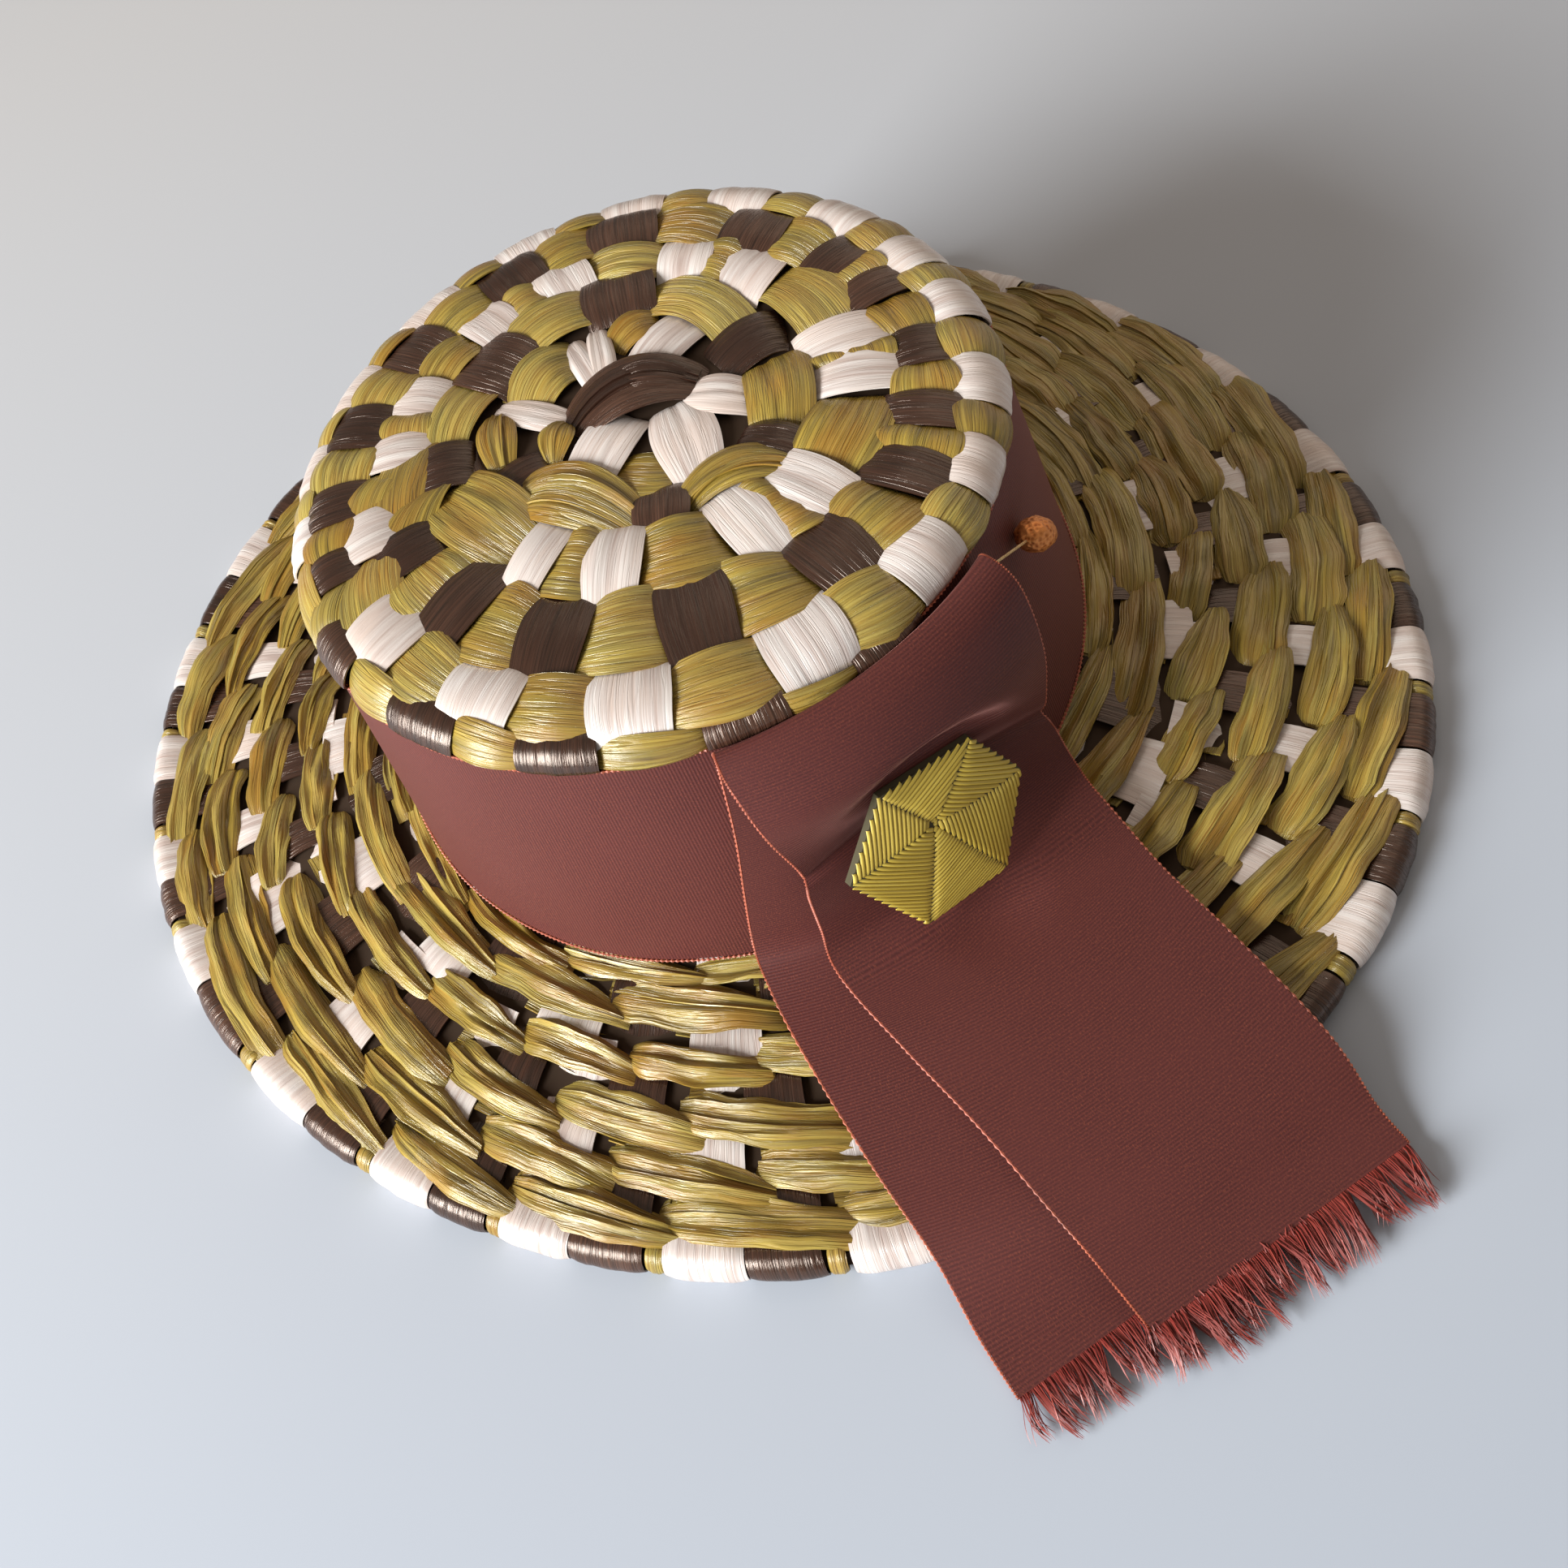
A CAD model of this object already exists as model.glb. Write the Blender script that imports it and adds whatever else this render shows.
"""A boater hat woven from wide raffia strips, with a ribbon band and a buttoned, fringed bow.

Lengths are in millimetres and are written to metres by MM. z = 0 is the surface that the rim
rests on, the Z axis is the axis of the crown, and the bow hangs towards -Y.
"""
import math
import random

import bmesh
import bpy
from mathutils import Matrix, Vector, noise


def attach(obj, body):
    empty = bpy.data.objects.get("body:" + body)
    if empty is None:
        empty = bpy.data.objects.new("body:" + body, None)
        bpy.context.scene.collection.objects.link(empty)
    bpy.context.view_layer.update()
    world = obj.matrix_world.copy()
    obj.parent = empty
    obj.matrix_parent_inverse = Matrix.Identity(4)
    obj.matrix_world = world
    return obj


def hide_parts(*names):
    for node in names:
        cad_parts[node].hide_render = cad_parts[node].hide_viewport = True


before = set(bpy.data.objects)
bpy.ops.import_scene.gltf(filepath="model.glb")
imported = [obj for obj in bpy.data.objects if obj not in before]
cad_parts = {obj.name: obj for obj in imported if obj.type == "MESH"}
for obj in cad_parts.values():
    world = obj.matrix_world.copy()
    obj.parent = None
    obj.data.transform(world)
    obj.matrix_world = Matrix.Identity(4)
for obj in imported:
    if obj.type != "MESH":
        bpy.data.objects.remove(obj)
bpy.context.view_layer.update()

# Crown tip
# The middle and the top of the crown are woven by hand from wide raffia strips. White and brown
# spokes run out from the middle, and two olive strips wind round them in a spiral.
MM = 0.001
BASE_Z = 17.4               # middle of the brim's thickness where it meets the crown
BAND_TOP_Z = 98.4
TIP_Z = 105.4
TIP_FLAT = 76.5             # the tip is flat out to here, then rounds over the shoulder
SHOULDER_R = 10.0
SHOULDER_TURN = 1.18        # radians of the shoulder that show above the ribbon
TIP_REACH = 91.0            # along the surface, from the axis to the ribbon's edge
WALL_IN, WALL_DOWN = 0.5, 0.85      # way of the surface past the shoulder, per millimetre
CROWN_LEAN = Vector((-1.1, -2.5, 0.0))      # how far off its axis the top of the worn crown is
WEAVE_MIDDLE = Vector((5.0, 10.0, 0.0))
WEAVE_RISE = 3.0            # from where a strip dives to the top of its arch
WEAVE_SINK = -1.35
END_SINK = 1.7              # how far the ends of a strip at the middle or on the brim dive
PLEATED_FROM = 0.35         # a strip whose ends are gathered more than this is pleated
ARCH_POWER = 0.62           # under 1, so that a strip's arch is flatter than a sine
SPOKE_TUCK = 0.03           # share of the way that a spoke goes on under its neighbours
SPOKE_SHARE = 0.54          # width of a spoke over the pitch of the spokes
SPOKE_WIDE = (9.0, 18.5)    # narrowest and widest spoke
FLOAT_INSET = 0.18          # share of the pitch by which an olive strip stops short of a spoke
FLOAT_FULL = 1.04           # width of an olive strip over the space that it fills
STRIP_THICK = 0.4
STRIP_SEED = 11

# Unrolled azimuth of each spoke that shows in a turn of the spiral, and the shares of the way
# from the weave's middle to the ribbon between which it shows.
WHITE_ROW = (
    # az, s_in, s_out
    (-142, 0.37, 0.555), (-116, 0.37, 0.555), (-74, 0.39, 0.60), (-54.5, 0.44, 0.65),
    (-17, 0.48, 0.69), (-4, 0.47, 0.68), (36.5, 0.48, 0.655), (57, 0.52, 0.667),
    (90, 0.57, 0.70), (111, 0.58, 0.71), (137, 0.595, 0.72), (153.7, 0.57, 0.735),
    (175, 0.65, 0.80), (199, 0.71, 0.89), (224, 0.755, 0.90), (250.5, 0.755, 0.915),
    (280, 0.77, 0.94), (303, 0.82, 0.99), (321.5, 0.845, 1.0), (338.5, 0.81, 1.0),
    (357.5, 0.80, 1.0), (372, 0.78, 1.0), (389.5, 0.80, 1.0), (410.5, 0.81, 1.0),
    (431.5, 0.82, 1.0), (452.5, 0.83, 1.0), (473.5, 0.84, 1.0), (494.5, 0.86, 1.0),
    (512, 0.88, 1.01), (528, 0.88, 1.02),
)
BROWN_ROW = (
    # az, s_in, s_out
    (77, 0.40, 0.565),
    (122, 0.42, 0.585), (163, 0.47, 0.58), (185, 0.57, 0.745), (207.5, 0.535, 0.765),
    (233, 0.555, 0.75), (264.5, 0.535, 0.755), (294, 0.62, 0.795), (316.5, 0.645, 0.86),
    (331, 0.655, 0.85), (347.5, 0.685, 0.81), (367.5, 0.64, 0.80), (381, 0.63, 0.79),
    (403, 0.62, 0.80), (433.7, 0.68, 0.83), (458.8, 0.67, 0.83), (484, 0.70, 0.84),
    (505, 0.71, 0.88), (524, 0.73, 0.895), (539, 0.78, 0.90), (553, 0.88, 1.0),
    (575.5, 0.875, 1.0), (599, 0.90, 1.0), (627, 0.925, 1.01), (650, 0.96, 1.03),
)
# Olive lengths that join the ends of the spiral to the turn outside it: from, to and width.
SPIRAL_ENDS = (
    ((169, 0.96), (193, 0.955), 13.0),
    ((150, 0.60), (178, 0.66), 13.0),
)
# The strips round the middle, by hand: three unrolled points along each, its width, how high
# its middle stands and how far its ends are gathered.
MIDDLE_WHITES = (
    ((2.0, 9.3), (-5.8, 2.8), (-16.0, -6.4), 14.7, 2.6, 0.15),
    ((11.5, 6.6), (11.2, -5.8), (9.9, -19.3), 16.3, 2.6, 0.3),
    ((16.1, 7.9), (22.3, 2.2), (30.0, -3.5), 12.1, 2.5, 0.2),
    ((8.6, 20.9), (17.6, 25.6), (27.2, 30.0), 13.5, 2.5, 0.1),
    ((-3.4, 41.0), (-2.4, 29.4), (-1.6, 18.7), 7.0, 2.4, 0.2),
    ((3.4, 41.4), (1.8, 29.4), (-0.6, 19.7), 7.0, 2.6, 0.3),
    ((-25.4, 31.2), (-17.7, 21.3), (-9.9, 14.4), 8.6, 2.2, 0.3),
)
MIDDLE_BROWNS = (
    ((25.3, 11.6), (35.5, 13.7), (43.7, 13.3), 15.3, 2.6, 0.1),
    ((22.0, -12.4), (28.2, -18.7), (34.5, -24.4), 11.3, 2.6, 0.1),
    ((-19.1, 6.6), (-26.3, 6.9), (-36.8, 4.6), 9.5, 1.8, 0.2),
    ((1.2, -15.6), (-0.8, -22.7), (-3.5, -29.1), 13.8, 2.6, 0.1),
    ((-36.0, -1.5), (-40.0, 11.0), (-38.0, 24.0), 13.0, 0.8, 0.1),
    ((-12.1, 12.2), (5.0, 15.6), (20.6, 8.7), 17.5, 4.6, 0.45),
    ((-1.0, 19.0), (9.0, 15.8), (19.6, 9.7), 9.5, 5.2, 0.5),
)
MIDDLE_OLIVES = (
    ((-30.7, -1.0), (-18.4, -7.6), (-7.2, -25.4), 18.5, 3.8, 0.45),
    ((3.7, -24.2), (17.6, -21.6), (30.7, -27.5), 11.4, 3.6, 0.4),
    ((37.1, 6.3), (35.8, -4.2), (31.8, -14.7), 16.7, 3.6, 0.05),
    ((-3.8, 35.1), (-11.8, 33.6), (-19.4, 27.9), 17.1, 3.0, 0.2),
    ((-26.6, 28.9), (-28.6, 20.3), (-30.3, 11.0), 10.3, 2.8, 0.4),
    ((-11.8, 15.8), (-15.5, 11.5), (-19.1, 5.1), 9.2, 3.4, 0.7),
    ((18.0, 43.6), (28.8, 32.9), (33.9, 18.0), 13.3, 3.6, 0.05),
    ((18.4, 35.5), (11.9, 35.3), (4.9, 32.2), 10.4, 2.6, 0.3),
    ((-7.3, -6.4), (-1.9, -11.4), (4.2, -14.1), 16.0, 1.2, 0.1),
    ((-44.9, 12.7), (-38.6, -1.5), (-31.9, -14.9), 21.9, 3.8, 0.2),
)


def tip_at(x, y, lift):
    """Point over the tip's mean surface, unrolled to the plane so that the shoulder is flat."""
    along = math.hypot(x, y)
    turn = min(max(along - TIP_FLAT, 0.0) / SHOULDER_R, SHOULDER_TURN)
    past = max(0.0, along - TIP_FLAT - SHOULDER_R * SHOULDER_TURN)
    r = min(along, TIP_FLAT) + (SHOULDER_R + lift) * math.sin(turn) - WALL_IN * past
    z = TIP_Z - SHOULDER_R * (1 - math.cos(turn)) + lift * math.cos(turn) - WALL_DOWN * past
    turned = math.atan2(y, x)
    return leaning(Vector((r * math.cos(turned), r * math.sin(turned), z)))


def leaning(point):
    """The worn crown leans a little: nothing at the brim, most at the top."""
    share = max(0.0, point.z - BASE_Z) / (BAND_TOP_Z - BASE_Z)
    return point + CROWN_LEAN * share


def woven(azimuth, share):
    """Unrolled place of a share of the way out from the weave's middle at an azimuth."""
    turned = math.radians(azimuth)
    way = Vector((math.cos(turned), math.sin(turned), 0.0))
    return WEAVE_MIDDLE * (1 - share) + way * TIP_REACH * share


def creases(rng, count, high):
    """Lengthwise folds of one strip: a height for a place a along it and b across it."""
    folds = []
    for fold in range(count):
        at = -0.85 + 1.7 * (fold + rng.uniform(0.2, 0.8)) / count
        folds.append((at, rng.uniform(-0.5, 0.5), rng.uniform(0.16, 0.34), rng.uniform(-1, 1)))

    def height(a, b):
        total = 0.0
        for at, drift, wide, up in folds:
            total += up * high * max(0.0, 1 - abs(b - at - drift * (a - 0.5)) / wide)
        return total
    return height


def strip_layers(bm):
    """What the materials read: millimetres along and across the fibres, and the strip's tone."""
    tones = bm.verts.layers.float
    return bm.loops.layers.uv.verify(), tones.get("tone") or tones.new("tone")


def lay_strip(bm, surface, size, cells, tone, out):
    """One strip of raffia: a grid laid on surface(a, b), a from 0 to 1 along it, b across.

    size is the strip's real (length, width), cells how many faces it has each way, tone its
    own share of the dye's lightness, and out the side that it shows.
    """
    fibre, dye = strip_layers(bm)
    made = bmesh.ops.create_grid(bm, x_segments=cells[0], y_segments=cells[1], size=1.0)
    places = {vert: ((vert.co.x + 1) / 2, vert.co.y) for vert in made["verts"]}
    faces = list({face for vert in made["verts"] for face in vert.link_faces})
    for vert, (a, b) in places.items():
        vert.co = surface(a, b)
        vert[dye] = tone
    for face in faces:
        face.normal_update()
        for loop in face.loops:
            a, b = places[loop.vert]
            loop[fibre].uv = (a * size[0], b * size[1] / 2)
    if sum((face.normal * face.calc_area() for face in faces), Vector()).dot(out) < 0:
        bmesh.ops.reverse_faces(bm, faces=faces)


def pleats(bm, surface, size, count, rng, out):
    """Narrow laps where a strip is folded over on itself lengthwise; one side stands up."""
    for _ in range(count):
        at, lap = rng.uniform(-0.55, 0.55), rng.uniform(0.14, 0.32)
        drift, hand = rng.uniform(-0.35, 0.35), rng.choice((-1, 1))

        def folded(a, b, at=at, lap=lap, drift=drift, hand=hand):
            across = min(max(at + drift * (a - 0.5) + lap * b, -1.0), 1.0)
            return surface(0.03 + 0.94 * a, across, 0.22 + 0.24 * (1 + hand * b))
        lay_strip(bm, folded, (size[0], size[1] * lap), (10, 4), rng.random(), out)


def finish_piece(bm, name, made_of, stands_for, thick=0.0, sharp=50.0):
    """Write a bmesh in metres as one piece of the hat."""
    if thick:
        bmesh.ops.solidify(bm, geom=bm.faces, thickness=thick)
    bmesh.ops.recalc_face_normals(bm, faces=bm.faces)
    bmesh.ops.scale(bm, vec=(MM, MM, MM), verts=bm.verts)
    mesh = bpy.data.meshes.new(name)
    bm.to_mesh(mesh)
    bm.free()
    mesh.materials.append(made_of)
    mesh.shade_smooth()
    mesh.set_sharp_from_angle(angle=math.radians(sharp))
    piece = bpy.data.objects.new(name, mesh)
    bpy.context.scene.collection.objects.link(piece)
    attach(piece, "root")
    if stands_for:
        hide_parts(stands_for)
    return piece


def dyed(red, green, blue):
    """A dye's colour as the shader wants it, from its screen colour out of 255."""
    levels = [((level / 255 + 0.055) / 1.055) ** 2.4 for level in (red, green, blue)]
    return (*levels, 1.0)


def plug(tree, made, inputs):
    """Set a node's inputs; each value is a number, a colour or another node's output."""
    for key, value in inputs.items():
        if isinstance(value, bpy.types.NodeSocket):
            tree.links.new(value, made.inputs[key])
        else:
            made.inputs[key].default_value = value


def node(tree, kind, inputs=None, **settings):
    """Add a shader node with its settings and its inputs."""
    made = tree.nodes.new("ShaderNode" + kind)
    for setting, value in settings.items():
        setattr(made, setting, value)
    plug(tree, made, inputs or {})
    return made


def worked(tree, operation, *values):
    """The result of one step of arithmetic."""
    return node(tree, "Math", dict(enumerate(values)), operation=operation).outputs[0]


def ranged(tree, value, low, high, to_low=0.0, to_high=1.0):
    """The value moved so that low to high becomes to_low to to_high."""
    return node(tree, "MapRange", {"Value": value, "From Min": low, "From Max": high,
                                   "To Min": to_low, "To Max": to_high}).outputs[0]


def mixed(tree, share, first, second):
    """The colour a share of the way from first to second."""
    return node(tree, "Mix", {0: share, 6: first, 7: second}, data_type="RGBA").outputs[2]


def new_material(name):
    """A new material, its node tree and its shader."""
    made = bpy.data.materials.new(name)
    made.use_nodes = True
    return made, made.node_tree, made.node_tree.nodes["Principled BSDF"]


def new_group(name, takes, gives):
    """A node group with named number, colour or vector sockets, and its two ends."""
    group = bpy.data.node_groups.new(name, "ShaderNodeTree")
    for socket, kind in takes:
        group.interface.new_socket(name=socket, in_out="INPUT", socket_type="NodeSocket" + kind)
    for socket, kind in gives:
        group.interface.new_socket(name=socket, in_out="OUTPUT", socket_type="NodeSocket" + kind)
    return group, group.nodes.new("NodeGroupInput"), group.nodes.new("NodeGroupOutput")


def stretched_noise(tree, along, across, seed, scales, detail):
    """Noise drawn out along the fibres; scales are per millimetre along and across."""
    place = node(tree, "CombineXYZ", {"X": worked(tree, "MULTIPLY", along, scales[0]),
                                      "Y": worked(tree, "MULTIPLY", across, scales[1]),
                                      "Z": worked(tree, "MULTIPLY", seed, 37.0)})
    return node(tree, "TexNoise", {"Vector": place.outputs[0], "Scale": 1.0, "Detail": detail,
                                   "Roughness": 0.62}).outputs["Fac"]


def raffia_fibres():
    """Fine fibres, broad streaks, faded patches and sharp creases that run along a strip."""
    group, start, end = new_group(
        "raffia fibres", (("Fibre", "Vector"), ("Tone", "Float")),
        (("Fine", "Float"), ("Broad", "Float"), ("Faded", "Float"), ("Height", "Float")))
    axes = node(group, "SeparateXYZ", {0: start.outputs["Fibre"]}).outputs
    tone = start.outputs["Tone"]
    fine = stretched_noise(group, axes[0], axes[1], tone, (0.05, 2.6), 4.0)
    broad = stretched_noise(group, axes[0], axes[1], tone, (0.03, 0.6), 2.0)
    faded = stretched_noise(group, axes[0], axes[1], tone, (0.06, 0.10), 1.0)
    line = stretched_noise(group, axes[0], axes[1], tone, (0.035, 0.85), 1.0)
    away = worked(group, "ABSOLUTE", worked(group, "SUBTRACT", line, 0.5))
    crease = ranged(group, away, 0.0, 0.05)
    clear = ranged(group, fine, 0.3, 0.7)
    wide = ranged(group, broad, 0.32, 0.68)
    high = worked(group, "MULTIPLY", clear, 0.35)
    high = worked(group, "MULTIPLY_ADD", crease, 0.5, high)
    high = worked(group, "MULTIPLY_ADD", wide, 0.4, high)
    shown = worked(group, "MULTIPLY_ADD", crease, 0.25, 0.75)
    clear = worked(group, "MULTIPLY", clear, shown)
    plug(group, end, {"Fine": clear, "Broad": wide, "Faded": faded, "Height": high})
    return group


FIBRES = raffia_fibres()


def raffia(name, deep, body, shine, faded, roughness, relief=0.0003, gleam=(1.0, 1.0, 1.0, 1.0)):
    """Dyed raffia: deep in the creases, body over most of it, shine on the raised fibres.

    Some patches are faded, relief is how high the fibres stand in metres, and gleam tints the
    highlights.
    """
    made, tree, shader = new_material(name)
    place = node(tree, "UVMap").outputs["UV"]
    tone = node(tree, "Attribute", attribute_name="tone").outputs["Fac"]
    grain = node(tree, "Group", {"Fibre": place, "Tone": tone}, node_tree=FIBRES).outputs
    colour = mixed(tree, grain["Broad"], deep, body)
    colour = mixed(tree, ranged(tree, grain["Faded"], 0.40, 0.66, 0.0, 0.85), colour, faded)
    lift = worked(tree, "MULTIPLY_ADD", tone, 0.45, 0.12)
    lift = worked(tree, "MULTIPLY", grain["Fine"], lift)
    colour = mixed(tree, lift, colour, shine)
    rough = ranged(tree, grain["Fine"], 0.0, 1.0, roughness + 0.12, roughness - 0.06)
    bump = node(tree, "Bump", {"Height": grain["Height"], "Strength": 1.0, "Distance": relief})
    plug(tree, shader, {"Base Color": colour, "Roughness": rough, "Normal": bump.outputs[0],
                        "Specular IOR Level": 0.95, "Specular Tint": gleam})
    return made


OLIVE = raffia("olive raffia", dyed(84, 60, 12), dyed(166, 136, 48), dyed(232, 216, 124),
               dyed(146, 98, 22), 0.25, 0.0003, (1.0, 0.97, 0.84, 1.0))
WHITE = raffia("white raffia", dyed(184, 160, 148), dyed(232, 222, 214), dyed(252, 250, 248),
               dyed(216, 194, 180), 0.28, 0.0001)
BROWN = raffia("brown raffia", dyed(14, 6, 4), dyed(50, 27, 18), dyed(124, 88, 70),
               dyed(34, 17, 11), 0.20, 0.00016, (1.0, 0.82, 0.70, 1.0))


def arch(a):
    """Height of a strip that dives at both ends, from WEAVE_SINK up to its top."""
    return WEAVE_SINK + WEAVE_RISE * max(0.0, math.sin(math.pi * a)) ** ARCH_POWER


def spoke_cell(bm, azimuth, s_in, s_out, wide, rng):
    """The stretch of a spoke that shows between two turns of the spiral."""
    fold = creases(rng, 3, 0.32)
    turned = math.radians(azimuth + rng.uniform(-1.0, 1.0))
    side = Vector((-math.sin(turned), math.cos(turned), 0.0))
    reach = s_out - s_in + 2 * SPOKE_TUCK
    skew = rng.uniform(-0.06, 0.06)

    def surface(a, b):
        share = s_in - SPOKE_TUCK + reach * a
        bent = b * (1 - 0.04 * math.cos(math.tau * a)) + skew * (a - 0.5)
        place = woven(azimuth, share) + side * (bent * wide / 2)
        return tip_at(place.x, place.y, arch(a) - 0.4 * b ** 4 + fold(a, b))
    lay_strip(bm, surface, (TIP_REACH * reach, wide), (12, 12), rng.random(), Vector((0, 0, 1)))


def float_cell(bm, start, finish, wide, rng):
    """A stretch of an olive strip that passes over one spoke, from and to (az, share)."""
    fold = creases(rng, 4, 0.34)
    long = math.radians(finish[0] - start[0]) * TIP_REACH * (start[1] + finish[1]) / 2
    slope = rng.uniform(-0.8, 0.8)

    def surface(a, b):
        azimuth = start[0] + (finish[0] - start[0]) * a
        half = (wide[0] + (wide[1] - wide[0]) * a) / 2
        half *= 1 - 0.03 * math.cos(math.tau * a)
        share = start[1] + (finish[1] - start[1]) * a + b * half / TIP_REACH
        place = woven(azimuth, share)
        lift = arch(a) - 0.45 * b ** 4 + slope * b * 0.3 + fold(a, b)
        return tip_at(place.x, place.y, lift)
    lay_strip(bm, surface, (long, max(wide)), (16, 12), rng.random(), Vector((0, 0, 1)))


def weave_row(row, spokes, wefts, rng):
    """The spokes that show in one spiral strip, and that strip where it passes between."""
    for index, (azimuth, s_in, s_out) in enumerate(row):
        before = row[max(index - 1, 0)][0]
        after = row[min(index + 1, len(row) - 1)][0]
        pitch = (after - before) / (2 if 0 < index < len(row) - 1 else 1)
        middle = (s_in + s_out) / 2
        arc = math.radians(pitch) * TIP_REACH * middle
        spoke_cell(spokes, azimuth, s_in, s_out,
                   min(max(arc * SPOKE_SHARE, SPOKE_WIDE[0]), SPOKE_WIDE[1]), rng)
        if index + 1 < len(row):
            _, next_in, next_out = row[index + 1]
            inset = FLOAT_INSET * (after - azimuth)
            wide = ((s_out - s_in) * TIP_REACH * FLOAT_FULL,
                    (next_out - next_in) * TIP_REACH * FLOAT_FULL)
            float_cell(wefts, (azimuth + inset, middle), (after - inset, (next_in + next_out) / 2),
                       wide, rng)


rng = random.Random(STRIP_SEED)
olive, white, brown = bmesh.new(), bmesh.new(), bmesh.new()
weave_row(WHITE_ROW, white, olive, rng)
weave_row(BROWN_ROW, brown, olive, rng)
for start, finish, wide in SPIRAL_ENDS:
    float_cell(olive, start, finish, (wide, wide), rng)


def middle_strip(bm, points, wide, high, gather, rng):
    """A strip near the middle, curved through three points; both its ends dive under others."""
    first, top, last = (Vector((x, y, 0.0)) for x, y in points)
    fold = creases(rng, 4, 0.22 + 0.1 * high)
    long = (last - first).length * 1.1

    def surface(a, b, raised=0.0):
        bend = top * 2 - (first + last) / 2
        place = first * (1 - a) ** 2 + bend * 2 * a * (1 - a) + last * a * a
        way = ((bend - first) * (1 - a) + (last - bend) * a).normalized()
        half = wide / 2 * (1 - gather + gather * math.sin(math.pi * a))
        place += Vector((-way.y, way.x, 0.0)) * b * half
        lift = raised - END_SINK + high * max(0.0, math.sin(math.pi * a)) ** 0.7 - 0.7 * b ** 4
        return tip_at(place.x, place.y, lift + fold(a, b))
    lay_strip(bm, surface, (long, wide), (20, 14), rng.random(), Vector((0, 0, 1)))
    if gather > PLEATED_FROM:
        pleats(bm, surface, (long, wide), 2, rng, Vector((0, 0, 1)))


for bm, strips in ((white, MIDDLE_WHITES), (brown, MIDDLE_BROWNS), (olive, MIDDLE_OLIVES)):
    for first, top, last, wide, high, gather in strips:
        middle_strip(bm, (first, top, last), wide, high, gather, rng)
finish_piece(olive, "crown_olive_strips", OLIVE, "crown", STRIP_THICK)
finish_piece(white, "crown_white_spokes", WHITE, "crown", STRIP_THICK)
finish_piece(brown, "crown_brown_spokes", BROWN, "crown", STRIP_THICK)

# Crown wall
# Under the ribbon the same weave goes down the side. From below, the back of every strip shows,
# so the inside has its own plain weave, over a thin dark core that keeps light out.
WALL_ROWS = 6
WALL_ROW_PITCH = 13.4
WALL_FOOT_R = 90.9          # to the middle of the woven wall, at the brim
WALL_TAPER = 7.9            # how much closer to the axis it is at the ribbon's upper edge
WALL_FOOT_Z = 15.0
INSIDE_TIP_Z = 101.6
INSIDE_CORNER = 72.0        # along the inside, where the tip turns down into the wall
INSIDE_ROUND = (12.0, 9.0, 4.0)     # that turn's length, reach inwards and height
INSIDE_BACK = 1.6           # from the middle of the wall to the strips inside
INSIDE_SPOKES = (8, 16, 34)         # spokes in the rows from 0, 20 and 40 mm out
INSIDE_SEED = 23
CORE = raffia("raffia core", dyed(16, 9, 5), dyed(34, 20, 11), dyed(60, 42, 22),
              dyed(26, 15, 8), 0.75, 0.0003, (1.0, 0.7, 0.5, 1.0))


def wall_radius(z):
    """Middle of the woven wall at height z, under the ribbon."""
    return WALL_FOOT_R - WALL_TAPER * (z - BASE_Z) / (BAND_TOP_Z - BASE_Z)


def inside_at(along, azimuth, lift):
    """Point inside the crown: along counts from the tip's middle out and down the wall."""
    past = along - INSIDE_CORNER
    if past < 0:
        r, z = along, INSIDE_TIP_Z - lift
    else:
        long, inwards, high = INSIDE_ROUND
        z = max(INSIDE_TIP_Z - high - past, WALL_FOOT_Z - 0.2)
        r = wall_radius(z) - INSIDE_BACK - lift
        soft = max(0.0, 1 - past / long)
        r -= inwards * soft * soft
        z += high * soft
    turned = math.radians(azimuth)
    return leaning(Vector((r * math.cos(turned), r * math.sin(turned), z)))


def inside_cell(bm, row, azimuth, reach, sideways, rng):
    """One visible stretch inside the crown, as the back of the weave."""
    low, high = row

    def surface(a, b):
        along, across = (b * 0.5 + 0.5, a - 0.5) if sideways else (a, b / 2)
        ends = math.sin(math.pi * a) ** 0.8
        lift = -0.6 + 1.6 * ends - 0.4 * b * b
        return inside_at(low + (high - low) * along, azimuth + across * reach, lift)
    size = (math.radians(reach) * 80.0, high - low) if sideways else (high - low, reach)
    middle = inside_at((low + high) / 2, azimuth, 0.0)
    deeper = inside_at((low + high) / 2, azimuth, 1.0)
    lay_strip(bm, surface, size, (6, 4), rng.random(), deeper - middle)


rng = random.Random(INSIDE_SEED)
olive, white, brown = bmesh.new(), bmesh.new(), bmesh.new()
inside_rows = [(8.0, 22.0), (21.0, 35.0), (34.0, 47.5), (46.5, 60.0), (59.0, 72.5)]
inside_rows += [(71.5 + WALL_ROW_PITCH * row, 85.5 + WALL_ROW_PITCH * row)
                for row in range(WALL_ROWS)]
for number, row in enumerate(inside_rows):
    spokes = INSIDE_SPOKES[(row[0] > 20) + (row[0] > 40)]
    pitch = 360 / spokes
    for column in range(spokes):
        azimuth = column * pitch
        if (column + number) % 2:
            inside_cell(olive, row, azimuth, pitch * 1.35, True, rng)
        else:
            inside_cell(brown if number % 2 else white, (row[0] - 2, row[1] + 2), azimuth,
                        pitch * 0.9, False, rng)
finish_piece(olive, "crown_inside_olive", OLIVE, "crown", STRIP_THICK)
finish_piece(white, "crown_inside_white", WHITE, "crown", STRIP_THICK)
finish_piece(brown, "crown_inside_brown", BROWN, "crown", STRIP_THICK)


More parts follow.
